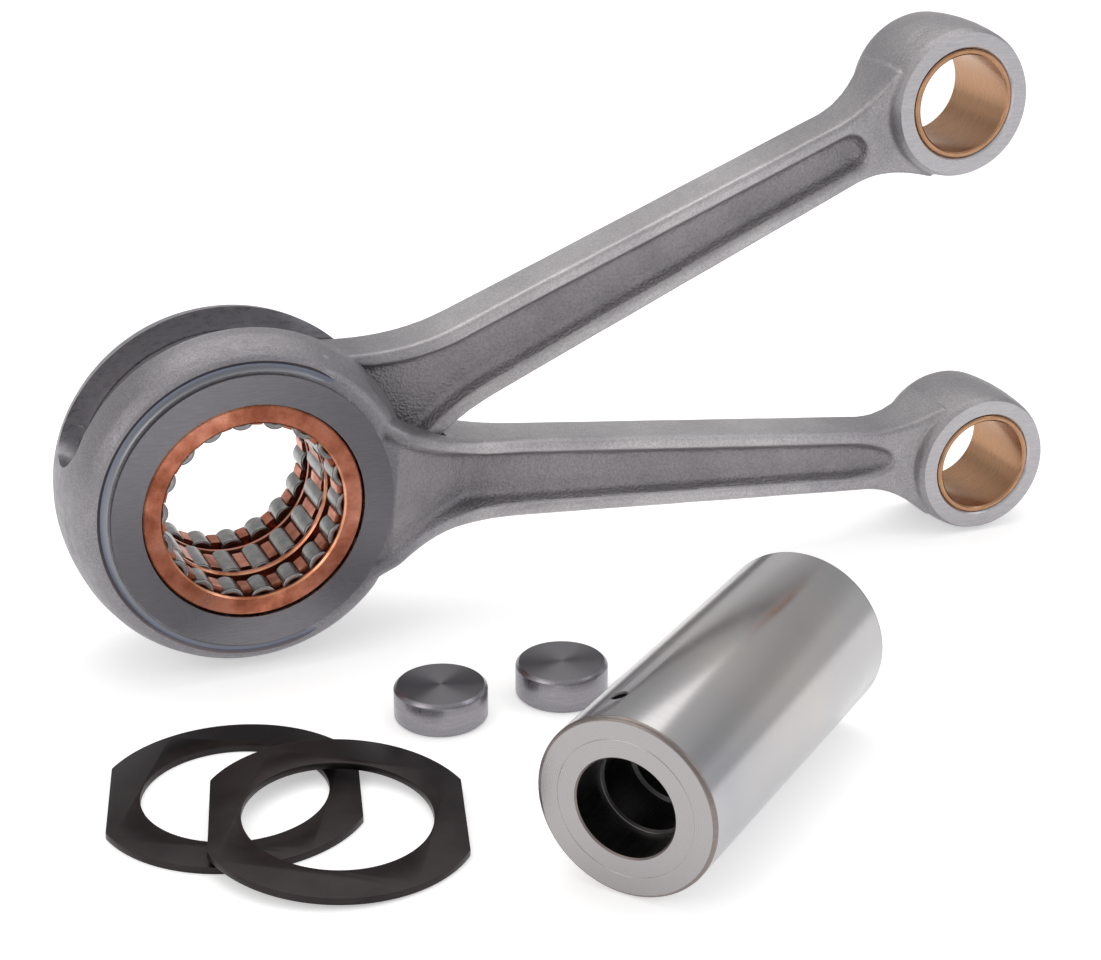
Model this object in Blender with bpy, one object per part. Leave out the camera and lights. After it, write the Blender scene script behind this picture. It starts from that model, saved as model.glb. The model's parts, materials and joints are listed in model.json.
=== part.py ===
"""Fork-and-blade connecting rod kit of a V-twin engine, laid out on a bench.

Frame: +X along the fork rod towards its small end, +Y along the big-end axis,
+Z up, the bench at z = 0, the origin under the middle of the whole kit.
The fork rod stands on its big-end rim and its small-end rim. The blade rod turns
in the fork's slot, and three caged roller rows line the big end. The crankpin,
its two plugs and the two thrust washers lie on the bench in front.
"""

import math

import bmesh
import bpy
from mathutils import Matrix, Vector

MM = 0.001

# Driving dimensions, in millimetres.
CENTRE_DISTANCE = 194.7  # big-end axis to small-end axis, the same on both rods
PIN_RADIUS = 19.05
PIN_LENGTH = 84.9
ROLLER_RADIUS = 3.0
ROLLERS_PER_ROW = 18
BIG_END_WIDTH = 38.0
BLADE_WIDTH = 14.8
SMALL_END_WIDTH = 24.0

# Big end.
RUNNING_GAP = 0.4
RACE_RADIUS = 25.5
ROLLER_PITCH_RADIUS = RACE_RADIUS - 0.3 - ROLLER_RADIUS
FACE_RADIUS = 32.2  # edge of the machined boss face
RIM_RADIUS = 40.0  # forged rim at the mid-plane
RIM_FLAT = 5.5  # half width of the rim's flat crown
BLADE_RING_RADIUS = 33.5
SLOT_RADIUS = BLADE_RING_RADIUS + 1.7
SLOT_HALF_WIDTH = BLADE_WIDTH / 2 + RUNNING_GAP
SLOT_END_ANGLE = 171.5  # degrees from the fork rod's own axis
BLADE_ANGLE = 28.6  # blade rod above fork rod, resting on the end of the slot

# Small ends, the same on both rods.
BUSH_BORE_RADIUS = 11.8
BUSH_RADIUS = 13.2
BUSH_SEAT_RADIUS = 13.4
EYE_FACE_RADIUS = 17.15
EYE_RADIUS = 18.6

# I-section of the shanks.
SHANK_START = 29.0
FLARE_START = 62.0
SMALL_FLARE = 165.0
HALF_HEIGHT_BIG = 10.0
HALF_HEIGHT_SMALL = 8.0
HALF_THICKNESS = 6.3
FLANGE = 3.9
POCKET_DEPTH = 3.6
POCKET_END = 171.0

# Cages and rollers.
CAGE_RADIUS = 25.1
CAGE_BORE_RADIUS = 20.8
SIDE_CAGE_LENGTH = 10.7
SIDE_ROLLER_LENGTH = 7.2
MIDDLE_ROLLER_LENGTH = 11.2
POCKET_PLAY = 0.35
ROW_GAP = 0.5

# Loose parts: plugs, washers and the hollow of the crankpin.
PLUG_RADIUS = 10.35
PLUG_HEIGHT = 8.0
PIN_MOUTH_RADIUS = 10.5
PIN_MOUTH_DEPTH = 10.0
PIN_BORE_RADIUS = 9.2
PIN_BORE_DEPTH = 30.0
OIL_HOLE_RADIUS = 1.5
OIL_HOLE_FROM_END = 10.0
OIL_HOLE_TURN = -20.0  # degrees about the pin's axis, from straight up
WASHER_RADIUS = 28.7
WASHER_HOLE_RADIUS = 19.3
WASHER_ACROSS_FLATS = 51.4
WASHER_THICKNESS = 1.6
REST_GAP = 0.3

# Bench layout: x and y from the big-end axis at the rods' mid-plane.
PIN_NEAR_END = (38.9, -133.4)
PIN_TURN = 39.0
PLUG_PLACES = ((30.6, -53.2), (59.3, -53.1))
LOWER_WASHER_PLACE = (-20.5, -70.3)
UPPER_WASHER_PLACE = (-4.6, -90.1)
WASHER_TURNS = (-15.0, -15.8)

FORK_ANGLE = -math.degrees(math.asin((RIM_RADIUS - EYE_RADIUS) / CENTRE_DISTANCE))


def clear_scene():
    for obj in list(bpy.data.objects):
        bpy.data.objects.remove(obj)


def make_material(name, color, metallic, roughness):
    material = bpy.data.materials.new(name)
    material.use_nodes = True
    shader = material.node_tree.nodes["Principled BSDF"]
    shader.inputs["Base Color"].default_value = (*color, 1.0)
    shader.inputs["Metallic"].default_value = metallic
    shader.inputs["Roughness"].default_value = roughness
    return material


def empty(name, parent=None, at=(0, 0, 0), turn_y=0.0):
    axis = bpy.data.objects.new(name, None)
    bpy.context.scene.collection.objects.link(axis)
    axis.parent = parent
    axis.location = Vector(at) * MM
    axis.rotation_euler[1] = math.radians(turn_y)
    return axis


def add_object(name, bm, material=None, parent=None):
    """Makes an object of a bmesh drawn in millimetres."""
    bmesh.ops.remove_doubles(bm, verts=bm.verts, dist=1e-4)
    bmesh.ops.scale(bm, vec=(MM, MM, MM), verts=bm.verts)
    bmesh.ops.recalc_face_normals(bm, faces=bm.faces)
    mesh = bpy.data.meshes.new(name)
    bm.to_mesh(mesh)
    bm.free()
    mesh.shade_smooth()
    mesh.set_sharp_from_angle(angle=math.radians(35))
    if material:
        mesh.materials.append(material)
    obj = bpy.data.objects.new(name, mesh)
    bpy.context.scene.collection.objects.link(obj)
    obj.parent = parent
    return obj


def add_helper(name, bm, parent=None):
    """A cutter or a shape to be joined on: it stays out of the model."""
    helper = add_object(name, bm, parent=parent)
    helper.hide_render = True
    helper.display_type = "WIRE"
    return helper


def combine(obj, helper, operation):
    modifier = obj.modifiers.new(helper.name, "BOOLEAN")
    modifier.object = helper
    modifier.operation = operation


def turned(profile, segments):
    """Turns a closed outline of (radius, y) points about the Y axis."""
    bm = bmesh.new()
    rings = []
    for index in range(segments):
        angle = 2 * math.pi * index / segments
        ring = []
        for radius, y in profile:
            ring.append(bm.verts.new((radius * math.cos(angle), y, radius * math.sin(angle))))
        rings.append(ring)
    for index, ring in enumerate(rings):
        following = rings[(index + 1) % segments]
        for point in range(len(profile)):
            other = (point + 1) % len(profile)
            bm.faces.new((ring[point], ring[other], following[other], following[point]))
    return bm


def cylinder(radius, length, segments, bm=None, matrix=None):
    """A solid cylinder about the Y axis, centred on the origin."""
    bm = bm or bmesh.new()
    along_y = Matrix.Rotation(math.radians(90), 4, "X")
    bmesh.ops.create_cone(
        bm,
        cap_ends=True,
        segments=segments,
        radius1=radius,
        radius2=radius,
        depth=length,
        matrix=(matrix or Matrix()) @ along_y,
    )
    return bm


def prism(outline, half_width, bm=None, turn=0.0):
    """An outline of (x, z) points, as thick as twice half_width along Y, turned about Y."""
    bm = bm or bmesh.new()
    rotation = Matrix.Rotation(-math.radians(turn), 4, "Y")
    sides = []
    for y in (-half_width, half_width):
        sides.append([bm.verts.new(rotation @ Vector((x, y, z))) for x, z in outline])
    front, back = sides
    bm.faces.new(front)
    bm.faces.new(reversed(back))
    for index in range(len(outline)):
        other = (index + 1) % len(outline)
        bm.faces.new((front[index], back[index], back[other], front[other]))
    return bm


def arc(radius, start, end, steps):
    """Points of a circle about the origin, from start to end in degrees."""
    points = []
    for step in range(steps + 1):
        angle = math.radians(start + (end - start) * step / steps)
        points.append((radius * math.cos(angle), radius * math.sin(angle)))
    return points


def turn_points(points, degrees):
    angle = math.radians(degrees)
    turned_points = []
    for x, z in points:
        turned_x = x * math.cos(angle) - z * math.sin(angle)
        turned_z = x * math.sin(angle) + z * math.cos(angle)
        turned_points.append((turned_x, turned_z))
    return turned_points


def half_height(distance):
    """Half the height of a shank at this distance from the big-end axis."""
    share = (distance - FLARE_START) / (SMALL_FLARE - FLARE_START)
    height = HALF_HEIGHT_BIG + (HALF_HEIGHT_SMALL - HALF_HEIGHT_BIG) * share
    big_flare = max(0.0, (FLARE_START - distance) / 26.0)
    small_flare = max(0.0, (distance - SMALL_FLARE) / 14.0)
    return height + 6.2 * big_flare**2 + 4.5 * small_flare**2


def fork_half_thickness(distance):
    big_flare = max(0.0, (74.0 - distance) / 38.0)
    small_flare = max(0.0, (distance - SMALL_FLARE) / 14.0)
    return HALF_THICKNESS + 7.0 * big_flare**2 + 2.0 * small_flare**2


def blade_half_thickness(distance):
    big_flare = max(0.0, min(1.0, (74.0 - distance) / 38.0))
    small_flare = max(0.0, (distance - SMALL_FLARE) / 14.0)
    return HALF_THICKNESS + 0.7 * big_flare + 2.0 * small_flare**2


def shank_section(distance, thickness, pocket_share):
    """Closed I-section as (y, z) points. The pockets close as pocket_share falls to 0."""
    height = half_height(distance)
    depth = POCKET_DEPTH * pocket_share
    pocket_top = (height - FLANGE) * max(0.35, pocket_share)
    quarter = [
        (thickness - depth, 0.0),
        (thickness - depth, pocket_top - 1.6),
        (thickness - depth * 0.1, pocket_top),
        (thickness, height - 1.4),
        (thickness - 1.6, height),
    ]
    upper = quarter + [(-y, z) for y, z in reversed(quarter)]
    lower = [(y, -z) for y, z in reversed(upper)]
    return upper + lower[1:-1]


def shank(half_thickness, start, end):
    """Lofts the I-section along X."""
    bm = bmesh.new()
    stations = [start, 33, 37, 41, 46, 52, 58, 66, 76, 98, 120, 142, 158, 165, 168, 170, 171, 175, end]
    rings = []
    for distance in stations:
        left = max(0.0, min(1.0, (POCKET_END - distance) / 6.0))
        pocket_share = math.sqrt(left)
        section = shank_section(distance, half_thickness(distance), pocket_share)
        rings.append([bm.verts.new((distance, y, z)) for y, z in section])
    for ring, following in zip(rings, rings[1:]):
        for index in range(len(ring)):
            other = (index + 1) % len(ring)
            bm.faces.new((ring[index], ring[other], following[other], following[index]))
    bm.faces.new(rings[0])
    bm.faces.new(reversed(rings[-1]))
    return bm


def mirrored_profile(front_half):
    """Outline of (radius, y) points, mirrored to the other side of y = 0."""
    return front_half + [(radius, -y) for radius, y in reversed(front_half)]


def add_small_end(rod, name):
    """Joins the eye onto a rod and bores it for its bushing."""
    half = SMALL_END_WIDTH / 2
    profile = [(0.5, -half), (EYE_FACE_RADIUS, -half), (18.0, -half + 1.2), (EYE_RADIUS, -6.0)]
    place = Matrix.Translation((CENTRE_DISTANCE, 0, 0))
    eye = turned(mirrored_profile(profile), 48)
    bmesh.ops.transform(eye, matrix=place, verts=eye.verts)
    combine(rod, add_helper(name + "_eye", eye, rod), "UNION")
    seat = cylinder(BUSH_SEAT_RADIUS, SMALL_END_WIDTH + 4, 48, matrix=place)
    combine(rod, add_helper(name + "_seat", seat, rod), "DIFFERENCE")


def fork_slot():
    """The room for the blade rod: a ring-shaped hollow and the opening it swings in."""
    distances = (27, 30, 33, 37, 41, 46, 52, 60, 70)
    lower_side = [(distance, -half_height(distance) - RUNNING_GAP) for distance in distances]
    outline = turn_points(lower_side, BLADE_ANGLE)
    outline += arc(80.0, 22.0, SLOT_END_ANGLE, 8)
    outline += arc(SLOT_RADIUS - 3.0, SLOT_END_ANGLE, -10.0, 24)
    return prism(outline, SLOT_HALF_WIDTH)


def make_fork_rod(parent, steel):
    half = BIG_END_WIDTH / 2
    profile = [
        (RACE_RADIUS, -half),
        (FACE_RADIUS, -half),
        (FACE_RADIUS + 1.0, -half + 1.6),
        (36.6, -half + 3.6),
        (39.0, -half + 8.0),
        (RIM_RADIUS, -RIM_FLAT),
    ]
    rod = add_object("fork_rod", turned(mirrored_profile(profile), 72), steel, parent)
    body = add_helper("fork_shank", shank(fork_half_thickness, SHANK_START, 184.0), rod)
    combine(rod, body, "UNION")
    hollow = add_helper("fork_hollow", cylinder(SLOT_RADIUS, 2 * SLOT_HALF_WIDTH, 72), rod)
    combine(rod, hollow, "DIFFERENCE")
    combine(rod, add_helper("fork_slot", fork_slot(), rod), "DIFFERENCE")
    add_small_end(rod, "fork")
    return rod


def make_blade_rod(parent, steel):
    half = BLADE_WIDTH / 2
    profile = [(RACE_RADIUS, -half), (BLADE_RING_RADIUS - 1, -half), (BLADE_RING_RADIUS, -half + 1)]
    rod = add_object("blade_rod", turned(mirrored_profile(profile), 72), steel, parent)
    body = add_helper("blade_shank", shank(blade_half_thickness, SHANK_START, 184.0), rod)
    combine(rod, body, "UNION")
    add_small_end(rod, "blade")
    return rod


def make_bushing(name, parent, bronze):
    half = SMALL_END_WIDTH / 2
    profile = [(BUSH_BORE_RADIUS, -half), (BUSH_RADIUS, -half)]
    bushing = add_object(name, turned(mirrored_profile(profile), 48), bronze, parent)
    bushing.location = (CENTRE_DISTANCE * MM, 0, 0)
    return bushing


def pocket_cutters(roller_length):
    """One cutter for each roller: round under the roller and open outwards."""
    radius = ROLLER_RADIUS + POCKET_PLAY
    under = [(ROLLER_PITCH_RADIUS + x, z) for x, z in arc(radius, 90, 270, 6)]
    outline = under + [(CAGE_RADIUS + 2, -radius), (CAGE_RADIUS + 2, radius)]
    bm = bmesh.new()
    for index in range(ROLLERS_PER_ROW):
        turn = 360 * index / ROLLERS_PER_ROW
        prism(outline, roller_length / 2 + POCKET_PLAY, bm, turn)
    return bm


def make_cage(name, length, roller_length, parent, copper):
    half = length / 2
    profile = [(CAGE_BORE_RADIUS, -half), (CAGE_RADIUS, -half)]
    cage = add_object(name, turned(mirrored_profile(profile), 54), copper, parent)
    pockets = add_helper(name + "_pockets", pocket_cutters(roller_length), cage)
    combine(cage, pockets, "DIFFERENCE")
    return cage


def make_rollers(name, length, parent, steel):
    """Separate rollers, each with its origin on its own axis."""
    mesh = None
    for index in range(ROLLERS_PER_ROW):
        roller_name = f"{name}_{index + 1:02d}"
        if mesh is None:
            roller = add_object(roller_name, cylinder(ROLLER_RADIUS, length, 12), steel, parent)
            mesh = roller.data
        else:
            roller = bpy.data.objects.new(roller_name, mesh)
            bpy.context.scene.collection.objects.link(roller)
            roller.parent = parent
        turn = Matrix.Rotation(-2 * math.pi * index / ROLLERS_PER_ROW, 4, "Y")
        roller.location = turn @ Vector((ROLLER_PITCH_RADIUS * MM, 0, 0))
        roller.rotation_euler = turn.to_euler()


def make_joined_rollers(name, length, parent, steel):
    """A whole row as one solid: a slim hoop inside the cage joins the rollers."""
    hoop_profile = [(19.5, -1.0), (20.3, -1.0)]
    row = add_object(name, turned(mirrored_profile(hoop_profile), 54), steel, parent)
    for index in range(ROLLERS_PER_ROW):
        turn = Matrix.Rotation(-2 * math.pi * index / ROLLERS_PER_ROW, 4, "Y")
        place = turn @ Matrix.Translation((ROLLER_PITCH_RADIUS, 0, 0))
        roller = cylinder(ROLLER_RADIUS, length, 12, matrix=place)
        combine(row, add_helper(f"{name}_{index + 1:02d}", roller, row), "UNION")
    return row


def make_crankpin(parent, steel):
    """Hollow pin with its near end at the parent's origin, reaching along local +Y."""
    chamfer = 1.05
    mouth = [
        (PIN_BORE_RADIUS, PIN_BORE_DEPTH - 3.0),
        (PIN_BORE_RADIUS, PIN_MOUTH_DEPTH),
        (PIN_MOUTH_RADIUS, PIN_MOUTH_DEPTH),
        (PIN_MOUTH_RADIUS, 0.0),
        (PIN_RADIUS - chamfer, 0.0),
        (PIN_RADIUS, chamfer),
    ]
    far = [(radius, PIN_LENGTH - y) for radius, y in reversed(mouth)]
    drill_tip = [(0.0, PIN_LENGTH - PIN_BORE_DEPTH), (0.0, PIN_BORE_DEPTH)]
    pin = add_object("crankpin", turned(mouth + far + drill_tip, 48), steel, parent)
    turn = Matrix.Rotation(math.radians(OIL_HOLE_TURN), 4, "Y")
    hole_place = turn @ Matrix.Translation((0, OIL_HOLE_FROM_END, 14.0))
    across = hole_place @ Matrix.Rotation(math.radians(90), 4, "X")
    oil_hole = cylinder(OIL_HOLE_RADIUS, 14.0, 12, matrix=across)
    combine(pin, add_helper("crankpin_oil_hole", oil_hole, pin), "DIFFERENCE")
    return pin


def make_plug(name, place, parent, steel):
    edge = 0.6
    half = PLUG_HEIGHT / 2
    profile = [(0.0, -half), (PLUG_RADIUS - edge, -half), (PLUG_RADIUS, -half + edge)]
    bm = turned(mirrored_profile(profile), 48)
    bmesh.ops.rotate(bm, cent=(0, 0, 0), matrix=Matrix.Rotation(math.radians(90), 3, "X"), verts=bm.verts)
    plug = add_object(name, bm, steel, parent)
    plug.location = Vector((*place, half)) * MM
    return plug


def washer_angles():
    corner = math.degrees(math.acos(WASHER_ACROSS_FLATS / 2 / WASHER_RADIUS))
    quarter = [0.0, corner]
    quarter += [corner + (90 - corner) * step / 12 for step in range(1, 12)]
    half_turn = quarter + [90.0] + [180 - angle for angle in reversed(quarter[1:])]
    return half_turn + [angle + 180 for angle in half_turn]


def make_washer(name, place, turn, parent, steel):
    """Flat ring with two flats, its lower face at z = 0 of its own frame."""
    bm = bmesh.new()
    rings = []
    for angle in washer_angles():
        direction = Vector((math.cos(math.radians(angle)), math.sin(math.radians(angle)), 0))
        outer = min(WASHER_RADIUS, WASHER_ACROSS_FLATS / 2 / max(1e-6, abs(direction.x)))
        ring = []
        for radius, z in ((outer, 0), (outer, 1), (WASHER_HOLE_RADIUS, 1), (WASHER_HOLE_RADIUS, 0)):
            ring.append(bm.verts.new(direction * radius + Vector((0, 0, z * WASHER_THICKNESS))))
        rings.append(ring)
    for index, ring in enumerate(rings):
        following = rings[(index + 1) % len(rings)]
        for corner in range(4):
            other = (corner + 1) % 4
            bm.faces.new((ring[corner], following[corner], following[other], ring[other]))
    washer = add_object(name, bm, steel, parent)
    washer.location = Vector((*place, 0)) * MM
    washer.rotation_euler[2] = math.radians(turn)
    return washer


def lean_upper_washer(washer):
    """Tips the upper washer so that it lies on the lower one's edge and on the bench."""
    offset = Vector(UPPER_WASHER_PLACE) - Vector(LOWER_WASHER_PLACE)
    direction = offset.normalized()
    step = WASHER_THICKNESS + REST_GAP
    lean = math.atan2(step, offset.length)
    axis = Vector((-direction.y, direction.x, 0))
    tip = Matrix.Rotation(lean, 4, axis)
    turn = Matrix.Rotation(math.radians(WASHER_TURNS[1]), 4, "Z")
    washer.rotation_euler = (tip @ turn).to_euler()
    washer.location.z = WASHER_RADIUS * math.sin(lean) * MM


def kit_bounds(nodes):
    bpy.context.view_layer.update()
    graph = bpy.context.evaluated_depsgraph_get()
    corners = []
    for node in nodes:
        evaluated = node.evaluated_get(graph)
        mesh = evaluated.to_mesh()
        corners += [evaluated.matrix_world @ vertex.co for vertex in mesh.vertices]
        evaluated.to_mesh_clear()
    low = [min(corner[axis] for corner in corners) for axis in range(3)]
    high = [max(corner[axis] for corner in corners) for axis in range(3)]
    return low, high


def centre_on_origin(bench):
    """Moves the kit so that the origin is the middle of its footprint, on the bench."""
    nodes = [obj for obj in bpy.data.objects if obj.type == "MESH" and not obj.hide_render]
    low, high = kit_bounds(nodes)
    bench.location = (-(low[0] + high[0]) / 2, -(low[1] + high[1]) / 2, -low[2])
    bpy.context.view_layer.update()


def main():
    clear_scene()
    forged_steel = make_material("forged_steel", (0.30, 0.30, 0.31), 0.85, 0.42)
    bearing_steel = make_material("bearing_steel", (0.52, 0.52, 0.51), 1.0, 0.22)
    ground_steel = make_material("ground_steel", (0.62, 0.61, 0.58), 1.0, 0.14)
    copper = make_material("copper", (0.62, 0.27, 0.13), 1.0, 0.33)
    bronze = make_material("bronze", (0.60, 0.38, 0.20), 1.0, 0.28)
    black_oxide = make_material("black_oxide", (0.025, 0.023, 0.022), 0.6, 0.38)

    bench = empty("bench")
    fork_axis = empty("fork_axis", bench, (0, 0, RIM_RADIUS), -FORK_ANGLE)
    blade_axis = empty("blade_axis", fork_axis, turn_y=-BLADE_ANGLE)
    make_fork_rod(fork_axis, forged_steel)
    make_bushing("fork_pin_bushing", fork_axis, bronze)
    make_blade_rod(blade_axis, forged_steel)
    make_bushing("blade_pin_bushing", blade_axis, bronze)

    side_offset = BLADE_WIDTH / 2 + ROW_GAP + SIDE_CAGE_LENGTH / 2
    front_axis = empty("front_row_axis", fork_axis, (0, -side_offset, 0))
    make_cage("front_cage", SIDE_CAGE_LENGTH, SIDE_ROLLER_LENGTH, front_axis, copper)
    make_rollers("front_roller", SIDE_ROLLER_LENGTH, front_axis, bearing_steel)
    middle_axis = empty("middle_row_axis", blade_axis)
    make_cage("middle_cage", BLADE_WIDTH, MIDDLE_ROLLER_LENGTH, middle_axis, copper)
    make_rollers("middle_roller", MIDDLE_ROLLER_LENGTH, middle_axis, bearing_steel)
    rear_axis = empty("rear_row_axis", fork_axis, (0, side_offset, 0))
    make_cage("rear_cage", SIDE_CAGE_LENGTH, SIDE_ROLLER_LENGTH, rear_axis, copper)
    make_joined_rollers("rear_rollers", SIDE_ROLLER_LENGTH, rear_axis, bearing_steel)

    pin_axis = empty("crankpin_axis", bench, (*PIN_NEAR_END, PIN_RADIUS))
    pin_axis.rotation_euler[2] = math.radians(PIN_TURN - 90)
    make_crankpin(pin_axis, ground_steel)
    for index, place in enumerate(PLUG_PLACES):
        make_plug(f"crankpin_plug_{index + 1}", place, bench, ground_steel)
    make_washer("thrust_washer_lower", LOWER_WASHER_PLACE, WASHER_TURNS[0], bench, black_oxide)
    upper = make_washer("thrust_washer_upper", UPPER_WASHER_PLACE, WASHER_TURNS[1], bench, black_oxide)
    lean_upper_washer(upper)
    centre_on_origin(bench)


main()
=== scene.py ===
"""Looks of the fork-and-blade connecting rod kit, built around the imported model."""

import json
import math

import bmesh
import bpy
from mathutils import Matrix, Vector


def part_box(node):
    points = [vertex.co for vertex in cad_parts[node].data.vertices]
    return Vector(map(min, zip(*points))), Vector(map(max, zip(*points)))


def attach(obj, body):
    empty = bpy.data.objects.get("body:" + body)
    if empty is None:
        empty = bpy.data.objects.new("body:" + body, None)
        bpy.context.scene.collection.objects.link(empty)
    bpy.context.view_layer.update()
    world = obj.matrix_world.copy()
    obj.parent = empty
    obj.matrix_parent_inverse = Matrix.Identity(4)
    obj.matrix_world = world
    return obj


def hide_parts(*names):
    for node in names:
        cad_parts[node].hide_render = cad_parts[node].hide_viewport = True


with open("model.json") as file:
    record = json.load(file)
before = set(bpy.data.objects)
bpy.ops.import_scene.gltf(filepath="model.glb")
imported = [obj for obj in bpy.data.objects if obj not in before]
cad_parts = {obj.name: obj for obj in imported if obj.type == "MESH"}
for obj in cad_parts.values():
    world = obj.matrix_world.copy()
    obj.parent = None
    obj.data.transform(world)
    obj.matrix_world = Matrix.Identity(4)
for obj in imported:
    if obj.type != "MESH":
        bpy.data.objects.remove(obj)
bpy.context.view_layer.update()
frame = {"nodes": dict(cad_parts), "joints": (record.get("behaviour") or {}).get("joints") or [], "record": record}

MM = 0.001

# Big end, in millimetres. The forging is drawn about the big-end axis, with the
# shank along +X and the mid-plane at y = 0.
RACE_RADIUS = 25.42
BOSS_RADIUS = 32.2
BIG_HALF_WIDTH = 19.0
RIM_RADIUS = 40.0
BLADE_RING_RADIUS = 34.4
BLADE_HALF_WIDTH = 7.4
SLOT_RADIUS = 35.2
SLOT_HALF_WIDTH = 7.8
SLOT_END_ANGLE = 171.5
BLADE_CLEARANCE = 0.35

# Forged crown and the turned cove around the boss.
CROWN_SINK = 0.4
CROWN_SINK_ANGLE = 11.0
CROWN_RISE_ANGLE = 25.0
COVE_RADIUS = 2.0
COVE_RUN_OUT = 2.6
COVE_RUN_OUT_ANGLE = 38.0
COVE_FULL_ANGLE = 34.0

# Shanks and small ends.
FLARE_START = 62.0
SMALL_FLARE = 165.0
THICK_FLARE_START = 74.0
THICK_FLARE_RUN = 38.0
SMALL_FLARE_RUN = 14.0
HALF_HEIGHT_BIG = 10.0
HALF_HEIGHT_SMALL = 8.0
HALF_THICKNESS = 6.3
WEB_HALF_THICKNESS = 2.6
FLANGE_HEIGHT = 3.4
EYE_HALF_WIDTH = 12.0
EYE_FACE_RADIUS = 17.2
EYE_RADIUS = 18.6
EYE_FROM_SHANK_END = 12.0
STATION_STEP = 1.5
BUSH_SEAT_RADIUS = 13.3
BUSH_BORE_RADIUS = 11.8

# Roller rows.
ROLLERS_PER_ROW = 18
ROLLER_RADIUS = 3.1
ROLLER_EDGE = 0.45
ROLLER_DISH_RADIUS = 1.9
ROLLER_PITCH_RADIUS = 22.2
SIDE_ROLLER_LENGTH = 7.0
SIDE_ROW_SHIFT = 0.55
MIDDLE_ROLLER_LENGTH = 11.4
CAGE_RADIUS = 25.1
SLEEVE_BORE_RADIUS = 22.7
POCKET_PLAY = 0.14

# Crankpin, plugs and washers.
PIN_RADIUS = 19.05
PIN_LENGTH = 84.9
PIN_EDGE = 1.05
OIL_HOLE_RADIUS = 1.55
OIL_HOLE_MOUTH_RADIUS = 2.0
OIL_HOLE_FROM_END = 10.0
OIL_HOLE_TURN = -20.0
PLUG_RADIUS = 10.35
PLUG_HALF_HEIGHT = 4.0
WASHER_RADIUS = 28.7
WASHER_HOLE_RADIUS = 19.3
WASHER_HALF_FLATS = 25.7
WASHER_THICKNESS = 1.6

# Camera and studio, in metres, degrees and watts.
CAMERA_LOCATION = (-0.1975, -0.4112, 0.2449)
CAMERA_TILT = 22.9
CAMERA_TURN = -22.2
CAMERA_LENS = 75.2
CAMERA_SENSOR = 36.0
FLOOR_GAP = 0.05
FLOOR_SIZE = 6000.0
FLOOR_GLOW = 0.42
SKY_STRENGTH = 0.85
# Brightness of the sky against the height of the direction it is seen in, 0 to 1.
SKY_STOPS = [(0.0, 0.8), (0.24, 0.9), (0.34, 0.62), (0.48, 0.6), (0.66, 0.85)]
# Name, location, target, size, energy and color of each softbox.
SOFTBOXES = [
    ("top_softbox", (0.05, 0.25, 0.75), (0.02, 0.02, 0.04), (0.9, 0.6), 2.2, (1.0, 0.98, 0.95)),
    ("left_softbox", (-0.75, -0.25, 0.45), (0.0, 0.02, 0.05), (0.5, 0.5), 1.3, (1.0, 0.95, 0.92)),
    ("right_softbox", (0.7, -0.45, 0.5), (0.02, 0.0, 0.04), (0.35, 0.6), 1.0, (0.92, 0.94, 1.0)),
]

# Fineness of the meshes.
BAND_SEGMENTS = 256
CROWN_SEGMENTS = 180
BORE_SEGMENTS = 192
VOXEL = 0.5

JOINTS = {joint["name"]: joint for joint in frame["joints"]}
MOUNTS = {mount["name"]: mount for mount in frame["record"]["mounts"]}


# ---------------------------------------------------------------- places


def box_centre(node):
    low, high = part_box(node)
    return (low + high) / 2


def axes_matrix(origin, x_axis, y_axis):
    """Placement whose X and Y axes are the given directions."""
    x_axis = Vector(x_axis).normalized()
    z_axis = x_axis.cross(Vector(y_axis)).normalized()
    y_axis = z_axis.cross(x_axis)
    rotation = Matrix((x_axis, y_axis, z_axis)).transposed().to_4x4()
    return Matrix.Translation(origin) @ rotation


BIG_END = Vector(JOINTS["blade_swing"]["pos_m"])
FORK_EYE = box_centre("fork_pin_bushing")
BLADE_EYE = box_centre("blade_pin_bushing")
FORK_PLACE = axes_matrix(BIG_END, FORK_EYE - BIG_END, (0, 1, 0))
BLADE_PLACE = axes_matrix(BIG_END, BLADE_EYE - BIG_END, (0, 1, 0))
CENTRE_DISTANCE = (FORK_EYE - BIG_END).length / MM
BLADE_ANGLE = math.degrees((FORK_EYE - BIG_END).angle(BLADE_EYE - BIG_END))


# ---------------------------------------------------------------- mesh tools


def finish_bmesh(name, bm, sharp_angle=35.0):
    """Turns a bmesh drawn in millimetres into an object in metres."""
    bmesh.ops.remove_doubles(bm, verts=bm.verts, dist=1e-4)
    bmesh.ops.scale(bm, vec=(MM, MM, MM), verts=bm.verts)
    bmesh.ops.recalc_face_normals(bm, faces=bm.faces)
    mesh = bpy.data.meshes.new(name)
    bm.to_mesh(mesh)
    bm.free()
    mesh.shade_smooth()
    mesh.set_sharp_from_angle(angle=math.radians(sharp_angle))
    obj = bpy.data.objects.new(name, mesh)
    bpy.context.scene.collection.objects.link(obj)
    return obj


def join_rings(bm, rings):
    """Faces between closed rings of the same length, and from the last back to the first."""
    for ring, following in zip(rings, rings[1:] + rings[:1]):
        for point in range(len(ring)):
            other = (point + 1) % len(ring)
            bm.faces.new((ring[point], ring[other], following[other], following[point]))


def turned(profile, segments, bm=None, matrix=None):
    """Turns a closed outline of (radius, y) points about the Y axis."""
    bm = bm or bmesh.new()
    matrix = matrix or Matrix()
    rings = []
    for index in range(segments):
        angle = 2 * math.pi * index / segments
        cosine, sine = math.cos(angle), math.sin(angle)
        ring = [bm.verts.new(matrix @ Vector((r * cosine, y, r * sine))) for r, y in profile]
        rings.append(ring)
    join_rings(bm, rings)
    return bm


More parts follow.
